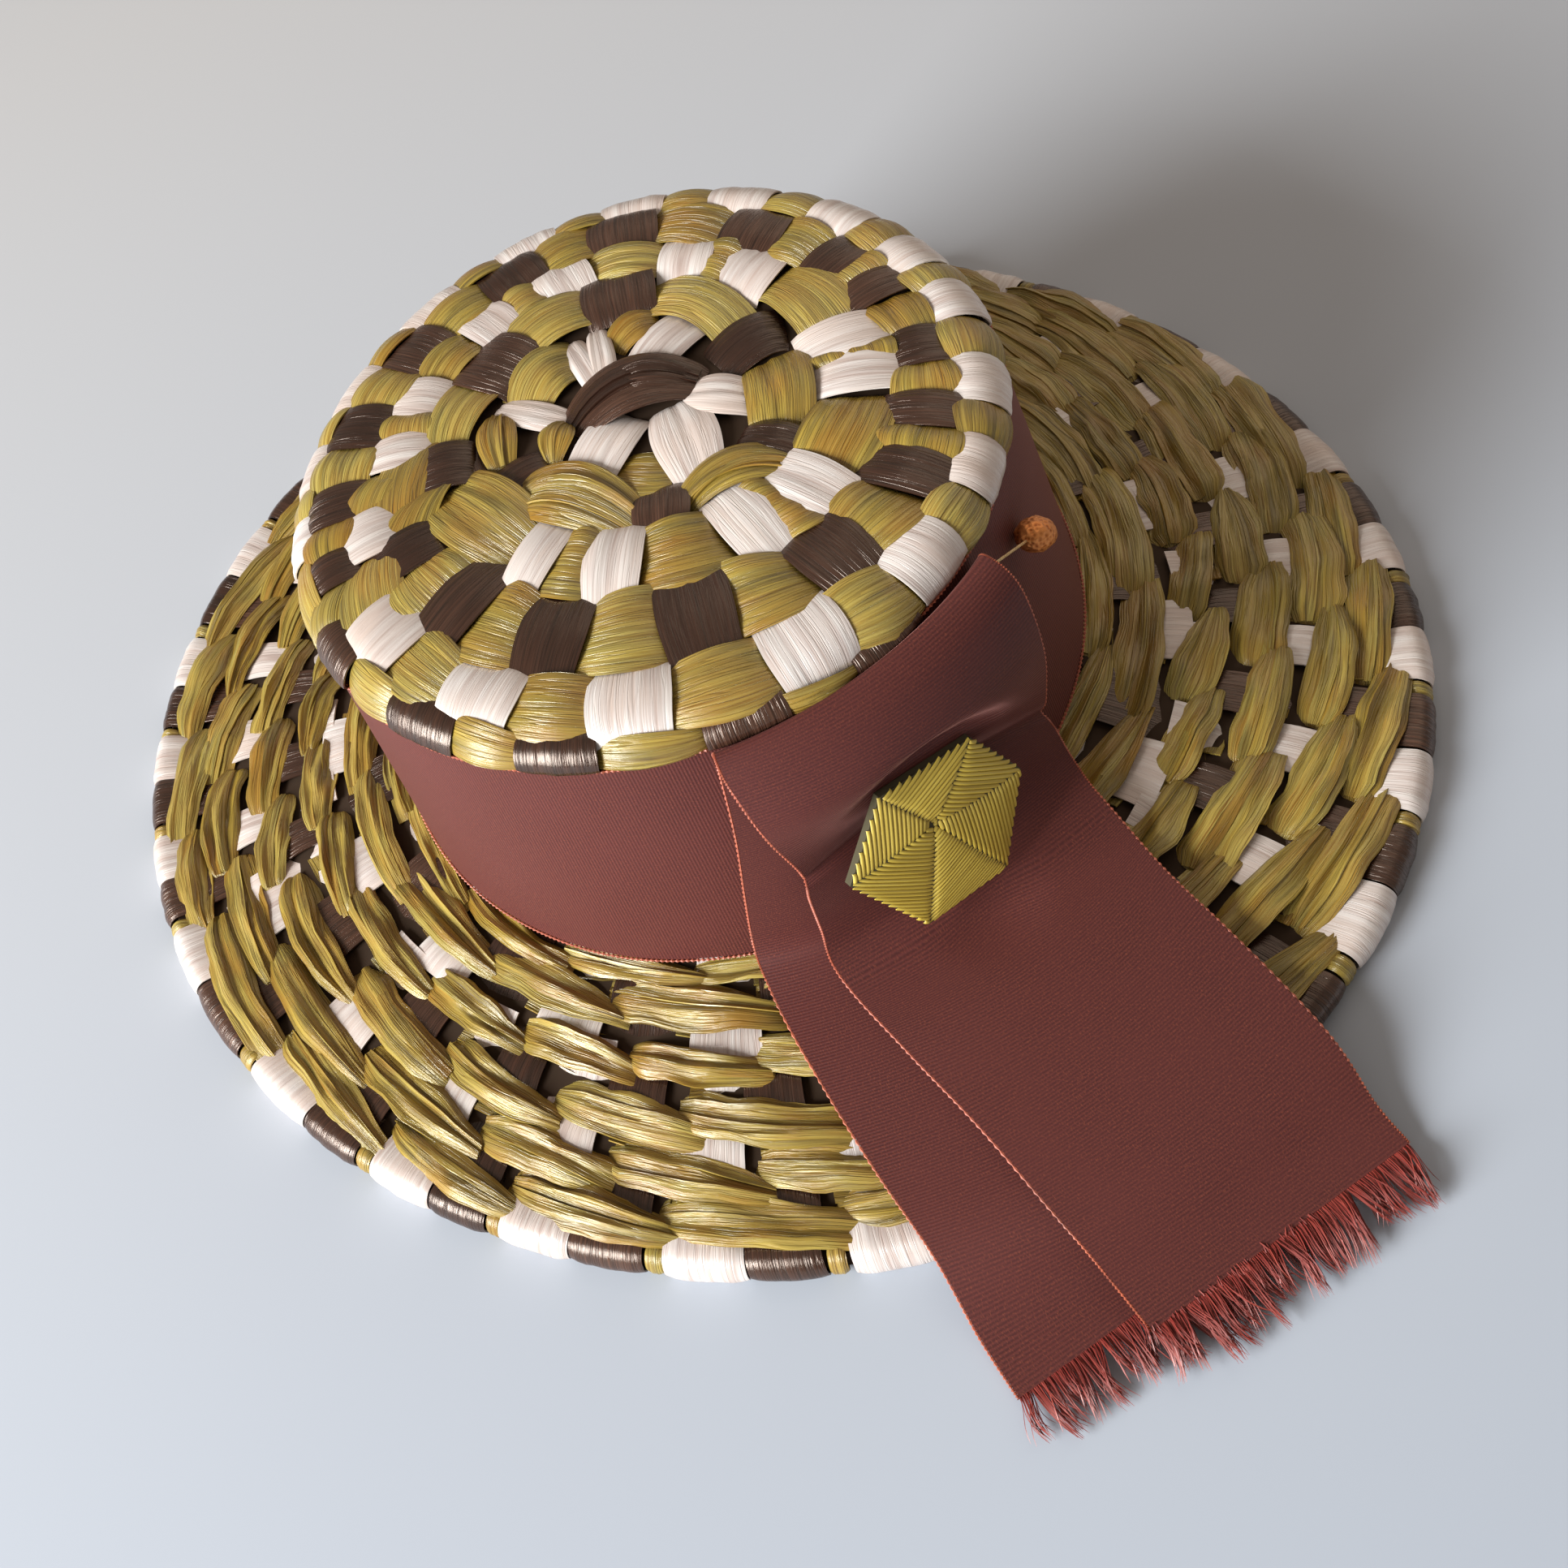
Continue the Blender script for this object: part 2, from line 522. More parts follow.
def turned_shell(points, steps):
    """A closed outline of (radius, height) points turned round the Z axis."""
    bm = bmesh.new()
    verts = [bm.verts.new((r, 0.0, z)) for r, z in points]
    edges = [bm.edges.new(pair) for pair in zip(verts, verts[1:])]
    if points[0][0] > 0:
        edges.append(bm.edges.new((verts[-1], verts[0])))
    bmesh.ops.spin(bm, geom=verts + edges, cent=(0, 0, 0), axis=(0, 0, 1), angle=math.tau,
                   steps=steps, use_merge=True)
    bmesh.ops.remove_doubles(bm, verts=bm.verts, dist=0.001)
    return bm


foot_r = wall_radius(WALL_FOOT_Z)
core = [(0.0, 103.4), (70.0, 103.4), (76.0, 102.6), (80.5, 100.2), (82.4, 97.0),
        (foot_r, WALL_FOOT_Z), (foot_r - 0.9, WALL_FOOT_Z), (81.3, 96.6),
        (79.6, 99.4), (75.6, 101.6), (70.0, 102.5), (0.0, 102.5)]
shell = turned_shell(core, 96)
for vert in shell.verts:
    vert.co = leaning(vert.co)
finish_piece(shell, "crown_core", CORE, "crown")

# Brim
# The brim is twined: flat white and brown spokes run out from the crown, and rows of creased
# olive strips are twisted round them in pairs, so that each stitch looks like a slanting leaf.
BRIM_INNER_R = 93.2
RIM_R = 170.0
RIM_OVAL = 0.06
RIM_LONG_AZ = -47.0
RIM_CENTRE = Vector((-2.85, -2.0, 0.0))
BRIM_DROOP = 13.4
BRIM_MIDDLE_Z = 17.0
# Azimuths of the white spokes at the rim, unrolled, one for each pair of spokes.
RIM_WHITES = (133, 147, 158, 170, 181, 201, 217, 231, 247, 262, 277, 292, 307.5, 320, 332,
              343, 355, 370, 385, 398.5, 412, 425.5, 439, 452.5, 466, 479.5)
SPOKE_MEAN_R = 130.0        # where the width of a brim spoke is taken
INNER_PAIRS = 17
INNER_FIRST_AZ = 206.0
BROWN_AFTER = 0.44          # how far round the pair its brown spoke lies
BRIM_SPOKE_SHARE = 0.43     # width of a spoke over the pitch of the pairs
SPOKE_THICK = 0.5
LAP_THICK = 0.3
STITCH_ROWS = (
    # share, pairs, first, slant, wide, lift
    (0.035, 17, 0.80, 4.0, 9.0, 2.0),
    (0.165, 17, 0.30, 5.0, 12.0, 3.0),
    (0.345, 26, 0.36, 5.5, 11.0, 3.0),
    (0.530, 26, 0.86, 6.0, 12.0, 3.1),
    (0.705, 26, 0.36, 6.5, 12.5, 3.1),
    (0.848, 26, 0.80, 6.5, 12.0, 3.7),
)
ROW_FIRST, ROW_PITCH = 0.10, 0.176      # shares of the way to the spokes' first wave and the next
STITCH_WIDEST_AZ = 10.0
STITCH_LEAD, STITCH_TRAIL = 0.09, 1.10  # where a stitch starts and ends, in pairs of spokes
FLOOR_GAP = 0.2             # the stitches stay this far over the table
BRIM_SEED = 5


def pair_azimuth(count, place):
    """Azimuth of a place counted in pairs of spokes, for the inner or the outer spokes."""
    if count == INNER_PAIRS:
        return INNER_FIRST_AZ + place * 360 / INNER_PAIRS
    turns, step = divmod(place, len(RIM_WHITES))
    index = int(step)
    ahead = RIM_WHITES[index + 1] if index + 1 < len(RIM_WHITES) else RIM_WHITES[0] + 360
    return RIM_WHITES[index] + (ahead - RIM_WHITES[index]) * (step - index) + 360 * turns


def brim_at(azimuth, share, lift, out=0.0):
    """Point on the brim at a share of the way to the rim; lift is from its middle surface."""
    turned = math.radians(azimuth)
    way = Vector((math.cos(turned), math.sin(turned), 0.0))
    reach = RIM_R * (1 + RIM_OVAL * math.cos(2 * (turned - math.radians(RIM_LONG_AZ))))
    r = BRIM_INNER_R + (reach - BRIM_INNER_R) * share + out
    return RIM_CENTRE * share + way * r + Vector((0, 0, BRIM_MIDDLE_Z - BRIM_DROOP * share + lift))


def brim_span(azimuth):
    """Millimetres from the crown to the rim at an azimuth."""
    return (brim_at(azimuth, 1.0, 0.0) - brim_at(azimuth, 0.0, 0.0)).to_2d().length


def leaf_width(a, pinch):
    """Share of its full width that a stitch has a share of the way along it."""
    rise = min(a / 0.18, 1.0)
    fall = max(0.0, (a - 0.5) / 0.5)
    return (0.55 + 0.45 * math.sin(rise * math.pi / 2)) * (1 - pinch * fall ** 1.5)


def stitch(bm, folds, row, number, cells, rng):
    """One creased stitch of a twined row.

    On top its laps go into folds, another bmesh. With None for folds it lies underneath.
    """
    share, pairs, first, slant, wide, lift = row
    side = -1 if folds is None else 1
    start = pair_azimuth(pairs, number + first - STITCH_LEAD + rng.uniform(-0.05, 0.05))
    finish = pair_azimuth(pairs, number + first + STITCH_TRAIL + rng.uniform(-0.05, 0.05))
    if side < 0:
        start, finish = finish, start
    middle = (start + finish) / 2
    fold = creases(rng, 5, 0.9)
    pinch = rng.uniform(0.15, 0.7)
    wide *= rng.uniform(0.88, 1.12) * (1 + 0.12 * math.cos(math.radians(middle - STITCH_WIDEST_AZ)))
    crumple = Vector((rng.uniform(0, 90), rng.uniform(0, 90), 0.0))
    slant *= rng.uniform(0.6, 1.5)
    long = math.radians(abs(finish - start)) * (BRIM_INNER_R + brim_span(middle) * share)
    turn_over = rng.uniform(-0.9, 0.9)
    bow = rng.uniform(-1.2, 1.2)

    def surface(a, b, raised=0.0):
        azimuth = start + (finish - start) * a
        buckle = noise.noise(crumple + Vector((a * 3.2, b * 1.3, 0.0)))
        ragged = noise.noise(crumple - Vector((a * 5, b, 0.0)))
        half = wide / 2 * leaf_width(a, pinch) * (1 + 0.22 * ragged)
        out = slant * (a - 0.5) + b * half + bow * math.sin(math.pi * a)
        arched = 0.5 + (lift + 1.0) * math.sin(math.pi * min(max(a, 0.0), 1.0)) ** 0.45
        dome = (1 - b ** 4) * 0.9 + turn_over * 1.6 * b * (a - 0.45)
        rough = (fold(a, b) + 1.5 * buckle) * (0.3 + math.sin(math.pi * a))
        high = arched - END_SINK + dome + raised + rough
        point = brim_at(azimuth, share, side * max(high, 0.15), out)
        point.z = max(point.z, FLOOR_GAP)
        return point
    lay_strip(bm, surface, (long, wide), cells, rng.random(), Vector((0, 0, side)))
    if folds is not None:
        pleats(folds, surface, (long, wide), 2, rng, Vector((0, 0, side)))


def brim_spoke(bm, azimuth, shares, phase, wide, rng):
    """A flat spoke that rises in every other gap between the rows and dips in the rest."""
    fold = creases(rng, 3, 0.22)
    reach = shares[1] - shares[0]

    def surface(a, b):
        share = shares[0] + reach * a
        wave = math.cos(math.pi * (share - ROW_FIRST) / ROW_PITCH + phase)
        lift = 1.1 * wave + 0.9 - 0.3 * b * b + fold(a, b)
        return brim_at(azimuth + b * wide / 2, share, lift)
    size = (brim_span(azimuth) * reach, math.radians(wide) * SPOKE_MEAN_R)
    lay_strip(bm, surface, size, (24, 6), rng.random(), Vector((0, 0, 1)))


rng = random.Random(BRIM_SEED)
top, laps, under = bmesh.new(), bmesh.new(), bmesh.new()
for row in STITCH_ROWS:
    for number in range(row[1]):
        stitch(top, laps, row, number, (16, 14), rng)
for share, pairs, first, slant, wide, lift in STITCH_ROWS:
    for number in range(pairs):
        back = (share, pairs, first + 0.5, slant, wide, lift - 0.6)
        stitch(under, None, back, number, (10, 8), rng)
finish_piece(top, "brim_stitches", OLIVE, "brim", STRIP_THICK)
finish_piece(laps, "brim_stitch_folds", OLIVE, "brim", LAP_THICK)
finish_piece(under, "brim_stitches_under", OLIVE, "brim", STRIP_THICK)
white, brown = bmesh.new(), bmesh.new()
for pairs, shares in ((INNER_PAIRS, (-0.05, 0.32)), (len(RIM_WHITES), (0.28, 0.93))):
    for number in range(pairs):
        for bm, after, phase in ((white, 0.0, math.pi), (brown, BROWN_AFTER, 0.0)):
            pitch = pair_azimuth(pairs, number + 1) - pair_azimuth(pairs, number)
            brim_spoke(bm, pair_azimuth(pairs, number + after), shares, phase,
                       BRIM_SPOKE_SHARE * pitch, rng)
finish_piece(white, "brim_white_spokes", WHITE, "brim", SPOKE_THICK)
finish_piece(brown, "brim_brown_spokes", BROWN, "brim", SPOKE_THICK)

# Wound edge
# The spoke ends turn over the rim and are wound side by side, white then brown, with a small
# olive knot between pairs where the last stitch is tied off.
EDGE_ROUND = 4.2            # half of the wound edge's thickness
EDGE_FLOOR = 0.15           # the wraps stay this far over the table
EDGE_TURN = 0.46            # share of a wrap's length that goes round the rim
EDGE_WRAPS = (
    # start and finish in pairs of spokes, half the thickness, and how far its ends reach in
    (-0.235, 0.215, 4.3, 9.5),      # white
    (0.225, 0.645, 4.1, 9.5),       # brown
    (0.655, 0.755, 3.5, 5.0),       # olive knot
)
EDGE_SEED = 31


def edge_wrap(bm, start, finish, fat, long_in, rng):
    """A wrap round the rim: a runs from the top inwards, over the rim, to the underside."""
    fold = creases(rng, 5, 0.22)
    wide = math.radians(finish - start) * RIM_R
    tilt = rng.uniform(-0.5, 0.5)

    def surface(a, b):
        azimuth = start + (finish - start) * (b + 1) / 2 + tilt * (a - 0.5)
        puff = fat * (1 - 0.16 * b ** 4) + fold(a, b)
        straight = 0.5 - EDGE_TURN / 2
        past = abs(a - 0.5) - EDGE_TURN / 2
        if past > 0:
            back = past / straight
            side = 1 if a < 0.5 else -1
            out, lift = -EDGE_ROUND - back * long_in, side * (puff - 3.4 * back ** 1.4)
        else:
            turn = (a - 0.5) / EDGE_TURN * math.pi
            out, lift = -EDGE_ROUND + puff * math.cos(turn), -puff * math.sin(turn)
        point = brim_at(azimuth, 1.0, lift, out)
        point.z += BRIM_DROOP * -out / brim_span(azimuth)
        point.z = max(point.z, EDGE_FLOOR)
        return point
    middle = brim_at((start + finish) / 2, 1.0, 0.0)
    lay_strip(bm, surface, (3.1 * EDGE_ROUND + 2 * long_in, wide), (26, 10), rng.random(),
              Vector((middle.x, middle.y, 0.0)).normalized())


rng = random.Random(EDGE_SEED)
white, brown, olive = bmesh.new(), bmesh.new(), bmesh.new()
for number in range(len(RIM_WHITES)):
    jitter = rng.uniform(-0.015, 0.015)
    for bm, (start, finish, fat, long_in) in zip((white, brown, olive), EDGE_WRAPS):
        edge_wrap(bm, pair_azimuth(len(RIM_WHITES), number + start + jitter),
                  pair_azimuth(len(RIM_WHITES), number + finish + jitter), fat, long_in, rng)
finish_piece(white, "edge_white_wraps", WHITE, "brim", STRIP_THICK)
finish_piece(brown, "edge_brown_wraps", BROWN, "brim", STRIP_THICK)
finish_piece(olive, "edge_knots", OLIVE, "brim", STRIP_THICK)
# The brim's dark core, turned first with its radius as a share: 1 at the crown, 2 at the rim.
core = turned_shell([(1.0, 0.3), (1.9, 0.3), (1.96, 2.2), (1.985, 0.0), (1.96, -2.2),
                     (1.9, -0.3), (1.0, -0.3)], 104)
for vert in core.verts:
    share = vert.co.to_2d().length - 1.0
    azimuth = math.degrees(math.atan2(vert.co.y, vert.co.x))
    vert.co = brim_at(azimuth, share, vert.co.z - 0.1, -1.2)
finish_piece(core, "brim_core", CORE, "brim")

# Ribbon band
# One length of maroon grosgrain goes once round the side of the crown. Its ribs stand upright,
# and both selvedges show rust-coloured loops of the weft.
BAND_FOOT_Z = 20.7
BAND_FOOT_R = 93.4
BAND_MIDDLE_R = 90.0
BAND_WIDE = 78.0
BAND_WALL = 0.9
BAND_COLUMNS = 240
RIB_PITCH = 0.8
PICOT_PITCH = 1.25
PICOT_R = 0.42


def grosgrain_ribs():
    """Ribs across the ribbon, the fine warp that covers them, and its worn patches."""
    group, start, end = new_group(
        "grosgrain ribs", (("Along", "Float"), ("Across", "Float"), ("Pitch", "Float")),
        (("Rib", "Float"), ("Thread", "Float"), ("Cloud", "Float"), ("Height", "Float")))
    along, across = start.outputs["Along"], start.outputs["Across"]
    count = worked(group, "DIVIDE", along, start.outputs["Pitch"])
    wave = worked(group, "COSINE", worked(group, "MULTIPLY", count, math.tau))
    rib = worked(group, "MULTIPLY_ADD", wave, 0.5, 0.5)
    thread = stretched_noise(group, along, across, 1.0, (1.6, 3.2), 2.0)
    cloud = stretched_noise(group, along, across, 1.0, (0.05, 0.05), 3.0)
    high = worked(group, "MULTIPLY_ADD", thread, 0.35, rib)
    plug(group, end, {"Rib": rib, "Thread": thread, "Cloud": cloud, "Height": high})
    return group


RIBS = grosgrain_ribs()


def grosgrain(name, deep, body, glint, pitch):
    """Ribbed ribbon; its UV map counts millimetres along the ribbon and across it."""
    made, tree, shader = new_material(name)
    axes = node(tree, "SeparateXYZ", {0: node(tree, "UVMap").outputs["UV"]}).outputs
    cloth = node(tree, "Group", {"Along": axes[0], "Across": axes[1], "Pitch": pitch},
                 node_tree=RIBS).outputs
    colour = mixed(tree, cloth["Rib"], deep, body)
    colour = mixed(tree, ranged(tree, cloth["Thread"], 0.52, 0.72, 0.0, 0.55), colour, glint)
    colour = mixed(tree, ranged(tree, cloth["Cloud"], 0.4, 0.7, 0.0, 0.35), colour, body)
    rough = ranged(tree, cloth["Thread"], 0.0, 1.0, 0.5, 0.7)
    bump = node(tree, "Bump", {"Height": cloth["Height"], "Strength": 0.5, "Distance": 0.00012})
    plug(tree, shader, {"Base Color": colour, "Roughness": rough, "Normal": bump.outputs[0],
                        "Specular IOR Level": 0.35, "Sheen Weight": 0.36,
                        "Sheen Roughness": 0.35, "Sheen Tint": dyed(220, 160, 150)})
    return made


RIBBON = grosgrain("maroon grosgrain", dyed(72, 31, 29), dyed(97, 45, 41), dyed(150, 78, 54),
                   RIB_PITCH)
PICOT = raffia("rust selvedge", dyed(120, 52, 34), dyed(188, 92, 60), dyed(216, 122, 84),
               dyed(170, 80, 56), 0.55, 0.00005)


def band_at(azimuth, z, out=0.0):
    """Point on the middle of the ribbon at an azimuth and a height."""
    turned = math.radians(azimuth)
    ripple = 0.22 * math.sin(5 * turned + 1.0) + 0.15 * math.sin(11 * turned + z * 0.04)
    r = BAND_FOOT_R - WALL_TAPER * (z - BASE_Z) / (BAND_TOP_Z - BASE_Z) + out + ripple * 0.6
    return leaning(Vector((r * math.cos(turned), r * math.sin(turned), z)))


def thread(bm, points, sides, thick_at, tone):
    """A thread through points; thick_at(step) is its half thickness at one of them."""
    fibre, dye = strip_layers(bm)
    steps = len(points) - 1
    made = bmesh.ops.create_grid(bm, x_segments=steps, y_segments=sides, size=1.0)
    for vert in made["verts"]:
        step = round((vert.co.x + 1) / 2 * steps)
        angle = (vert.co.y + 1) / 2 * math.tau
        ahead = points[min(step + 1, steps)] - points[max(step - 1, 0)]
        side = ahead.cross(Vector((0.1, 0.2, 1.0))).normalized()
        up = side.cross(ahead).normalized()
        for loop in vert.link_loops:
            loop[fibre].uv = (step * 3.0, tone * 40.0)
        vert.co = points[step] + (side * math.cos(angle) + up * math.sin(angle)) * thick_at(step)
        vert[dye] = tone
    bmesh.ops.remove_doubles(bm, verts=made["verts"], dist=0.0001)


def selvedge(bm, path, long):
    """A row of small rust loops along a ribbon's edge; path(a) runs from its start to its end."""
    steps = int(long / PICOT_PITCH) * 4
    points = [path(step / steps) for step in range(steps + 1)]
    thread(bm, points, 6, lambda step: PICOT_R * (0.72 + 0.42 * math.cos(step / 4 * math.tau)), 0.5)
    fibre, _ = strip_layers(bm)
    for face in bm.faces:
        for loop in face.loops:
            loop[fibre].uv = (loop.vert.co.x, loop.vert.co.z)
    bmesh.ops.holes_fill(bm, edges=bm.edges, sides=0)


bm = bmesh.new()
fibre = bm.loops.layers.uv.verify()
made = bmesh.ops.create_grid(bm, x_segments=BAND_COLUMNS, y_segments=14, size=1.0)
round_mm = math.tau * BAND_MIDDLE_R
for vert in made["verts"]:
    for loop in vert.link_loops:
        loop[fibre].uv = ((vert.co.x + 1) / 2 * round_mm, (vert.co.y + 1) / 2 * BAND_WIDE)
for vert in made["verts"]:
    height = (vert.co.y + 1) / 2
    vert.co = band_at(180 * vert.co.x, BAND_FOOT_Z + (BAND_TOP_Z - BAND_FOOT_Z) * height)
bmesh.ops.remove_doubles(bm, verts=bm.verts, dist=0.001)
bmesh.ops.recalc_face_normals(bm, faces=bm.faces)
band = finish_piece(bm, "band_ribbon", RIBBON, "band", BAND_WALL)
bm = bmesh.new()
for z in (BAND_FOOT_Z - 0.2, BAND_TOP_Z + 0.1):
    selvedge(bm, lambda a, z=z: band_at(360 * a, z, 0.3), round_mm)
finish_piece(bm, "band_selvedges", PICOT, None)

# Bow
# A second length of the same ribbon goes up the band, folds over its top edge, is caught by
# the button and runs out over the brim: one loop and two tails, cut square and fringed.
RIBBON_THICK = 0.7
RIBBON_WIDE = 76.0
BOW_COLUMNS = 36
BOW_STEPS = 8
# One row for each section of the ribbon, from the end of the lower tail, up the side of the
# crown, over the fold and down to the end of the upper tail. Azimuths are in degrees; bow and
# rise are how far the middle of the section stands out from and over the line between its edges.
BOW_ROWS = (
    # left_az, left_r, left_z, right_az, right_r, right_z, bow, rise
    (-94.0, 204.9, 1.2, -73.3, 199.5, 1.2, -3.3, 0.0),
    (-95.0, 190.0, 2.0, -72.8, 191.0, 2.4, -3.0, 0.0),
    (-96.0, 172.5, 9.6, -71.6, 180.0, 9.6, -1.5, 0.0),
    (-98.0, 154.0, 13.0, -70.4, 160.0, 12.2, -1.5, 0.0),
    (-101.0, 130.0, 16.9, -67.5, 134.0, 16.3, -1.0, 0.0),
    (-105.0, 103.5, 21.4, -62.0, 103.5, 21.4, 0.0, 0.0),
    (-105.8, 95.4, 27.0, -60.5, 95.4, 27.0, 0.0, 0.0),
    (-104.0, 92.6, 45.0, -58.5, 92.6, 45.0, 0.0, 0.0),
    (-101.0, 90.3, 70.0, -54.5, 90.3, 70.0, 0.0, 0.0),
    (-98.8, 87.6, 94.5, -51.5, 87.8, 94.5, 0.0, 0.0),
    (-98.4, 89.0, 100.3, -51.8, 91.5, 100.0, -1.6, 0.0),
    (-98.0, 94.0, 95.5, -52.6, 98.5, 94.0, -0.5, 0.0),
    (-96.4, 99.0, 79.0, -53.4, 101.5, 73.0, 0.5, 4.0),
    (-94.6, 98.0, 58.5, -53.0, 97.5, 45.0, -4.8, 9.0),
    (-95.2, 98.2, 47.0, -53.0, 99.0, 37.0, -4.0, 4.0),
    (-95.6, 99.5, 34.0, -54.0, 103.5, 28.5, -4.0, 0.0),
    (-95.8, 106.0, 24.6, -56.0, 112.0, 23.8, -5.0, 0.0),
    (-92.0, 128.0, 19.8, -59.5, 132.0, 19.4, 0.5, 0.0),
    (-88.8, 152.0, 16.2, -61.6, 154.0, 16.2, -1.0, 0.0),
    (-86.6, 180.0, 11.4, -64.0, 184.0, 11.4, -1.5, 0.0),
    (-85.7, 194.0, 6.4, -65.6, 199.0, 6.0, -2.2, 0.0),
    (-85.2, 204.8, 3.2, -66.2, 209.3, 3.2, -2.8, 0.0),
)
PINCH_ROW = 13.3            # place in the table of the fold line that the button pulls in
UPPER_ROW = 11.0            # past this place the ribbon is the upper layer, under the button
BUTTON_AT = Vector((24.4, -98.2, 50.0))
BUTTON_AZ, BUTTON_RISE = -72.5, 11.0
PRESS_REACH, PRESS_SOFT = 34.0, 9.0     # the cloth is pressed flat out to here, and how softly
PRESS_BACK = 0.6            # from the button's back to the cloth
button_turn, button_rise = math.radians(BUTTON_AZ), math.radians(BUTTON_RISE)
button_out = Vector((math.cos(button_rise) * math.cos(button_turn),
                     math.cos(button_rise) * math.sin(button_turn), math.sin(button_rise)))


def smooth_between(before, start, end, after, share):
    """One value on the smooth curve through four neighbouring rows."""
    slope_start = (end - before) / 2
    slope_end = (after - start) / 2
    square = share * share
    cube = square * share
    return ((2 * cube - 3 * square + 1) * start + (cube - 2 * square + share) * slope_start
            + (3 * square - 2 * cube) * end + (cube - square) * slope_end)


def bow_at(place, across):
    """Point of the ribbon's middle surface at a place in the table; across is from 0 to 1."""
    last = len(BOW_ROWS) - 1
    index = min(int(place), last - 1)
    rows = [BOW_ROWS[min(max(index + shift, 0), last)] for shift in (-1, 0, 1, 2)]
    section = [smooth_between(*values, place - index) for values in zip(*rows)]
    left_az, left_r, left_z, right_az, right_r, right_z, bow, rise = section
    middle = 1 - (2 * across - 1) ** 2
    turned = math.radians(left_az + (right_az - left_az) * across)
    line = PINCH_ROW - 0.25 * across
    pinch = 1.7 * math.exp(-((place - line) / 0.16) ** 2) * (1 - 0.55 * middle)
    r = left_r + (right_r - left_r) * across + bow * middle - pinch
    z = left_z + (right_z - left_z) * across + rise * middle
    point = leaning(Vector((r * math.cos(turned), r * math.sin(turned), z)))
    if place > UPPER_ROW:
        off = point - BUTTON_AT
        above = off.dot(button_out)
        away = (off - button_out * above).length
        hold = min(max((PRESS_REACH - away) / PRESS_SOFT, 0.0), 1.0)
        hold *= hold * (3 - 2 * hold)
        point -= button_out * max(above + PRESS_BACK, 0.0) * hold
    return point


last_row = len(BOW_ROWS) - 1
bm = bmesh.new()
fibre = bm.loops.layers.uv.verify()
steps = last_row * BOW_STEPS
lengths = [0.0]
for step in range(steps):
    here, there = bow_at(step / BOW_STEPS, 0.5), bow_at((step + 1) / BOW_STEPS, 0.5)
    lengths.append(lengths[-1] + (there - here).length)
made = bmesh.ops.create_grid(bm, x_segments=BOW_COLUMNS, y_segments=steps, size=1.0)
for vert in made["verts"]:
    across, step = (vert.co.x + 1) / 2, round((vert.co.y + 1) / 2 * steps)
    for loop in vert.link_loops:
        loop[fibre].uv = (lengths[step], across * RIBBON_WIDE)
for vert in made["verts"]:
    vert.co = bow_at(round((vert.co.y + 1) / 2 * steps) / BOW_STEPS, (vert.co.x + 1) / 2)
bmesh.ops.recalc_face_normals(bm, faces=bm.faces)
bm.normal_update()
for vert in bm.verts:
    vert.co -= vert.normal * RIBBON_THICK / 2
bow_ribbon = finish_piece(bm, "bow_ribbon", RIBBON, "ribbon_bow", -RIBBON_THICK)
bow_long = lengths[-1]
bm = bmesh.new()
for across in (-0.003, 1.003):
    selvedge(bm, lambda a, across=across: bow_at(a * last_row, across), bow_long)
bow_edges = finish_piece(bm, "bow_selvedges", PICOT, None)

# Fringe
# At both cut ends of the bow the cross threads are drawn out of the ribbon, so that its silky
# long threads are free. They lie in loose locks past the rim, just over the table.
LOCKS = 25
STRANDS = 26
STRAND_STEPS = 6
STRAND_FLOOR = 0.4          # the threads stay this far over the table
FRINGE_LONG = 14.0
FRINGE_SEED = 7
SILK = raffia("fringe silk", dyed(88, 22, 20), dyed(142, 44, 38), dyed(196, 92, 76),
              dyed(120, 36, 32), 0.4, 0.00004, (1.0, 0.75, 0.7, 1.0))
rng = random.Random(FRINGE_SEED)
bm = bmesh.new()
for end_row, drop in ((0, 0.7), (last_row, 1.6)):
    left, right = bow_at(end_row, 0.0), bow_at(end_row, 1.0)
    way = (right - left).normalized().cross(Vector((0, 0, 1)))
    for lock in range(LOCKS):
        middle = (lock + 0.5) / LOCKS
        lean_to = rng.uniform(-2.4, 2.4)
        long = FRINGE_LONG * rng.uniform(0.72, 1.12)
        gather = rng.uniform(0.0, 0.55)
        curl = rng.uniform(-2.2, 2.2)
        for number in range(STRANDS):
            place = number + 0.5 - STRANDS / 2 + rng.uniform(-0.4, 0.4)
            across = middle + place / STRANDS / LOCKS
            root = bow_at(end_row, min(max(across, 0.0), 1.0)) - way * 0.4
            off = (across - middle) * RIBBON_WIDE
            reach = long * rng.uniform(0.75, 1.08)
            wild = rng.uniform(-1.0, 1.0) * (3.4 if number % 6 == 0 else 0.9)
            high = rng.uniform(0.2, 3.2)
            points = []
            for step in range(STRAND_STEPS + 1):
                part = step / STRAND_STEPS
                slip = (lean_to + wild - off * gather) * part * part
                slip += curl * math.sin(part * 3.0) * part
                point = root + way * (reach * part) + (right - left).normalized() * slip
                fallen = root.z + high * math.sin(part * 2.6) - (root.z - drop) * part
                point.z = max(fallen, STRAND_FLOOR)
                points.append(point)
            thick = rng.uniform(0.09, 0.15)
            thread(bm, points, 3, lambda step, thick=thick: thick * (
                0.25 if step == STRAND_STEPS else 1.0), rng.random())
bmesh.ops.holes_fill(bm, edges=bm.edges, sides=4)
fringe = finish_piece(bm, "bow_fringe", SILK, None)

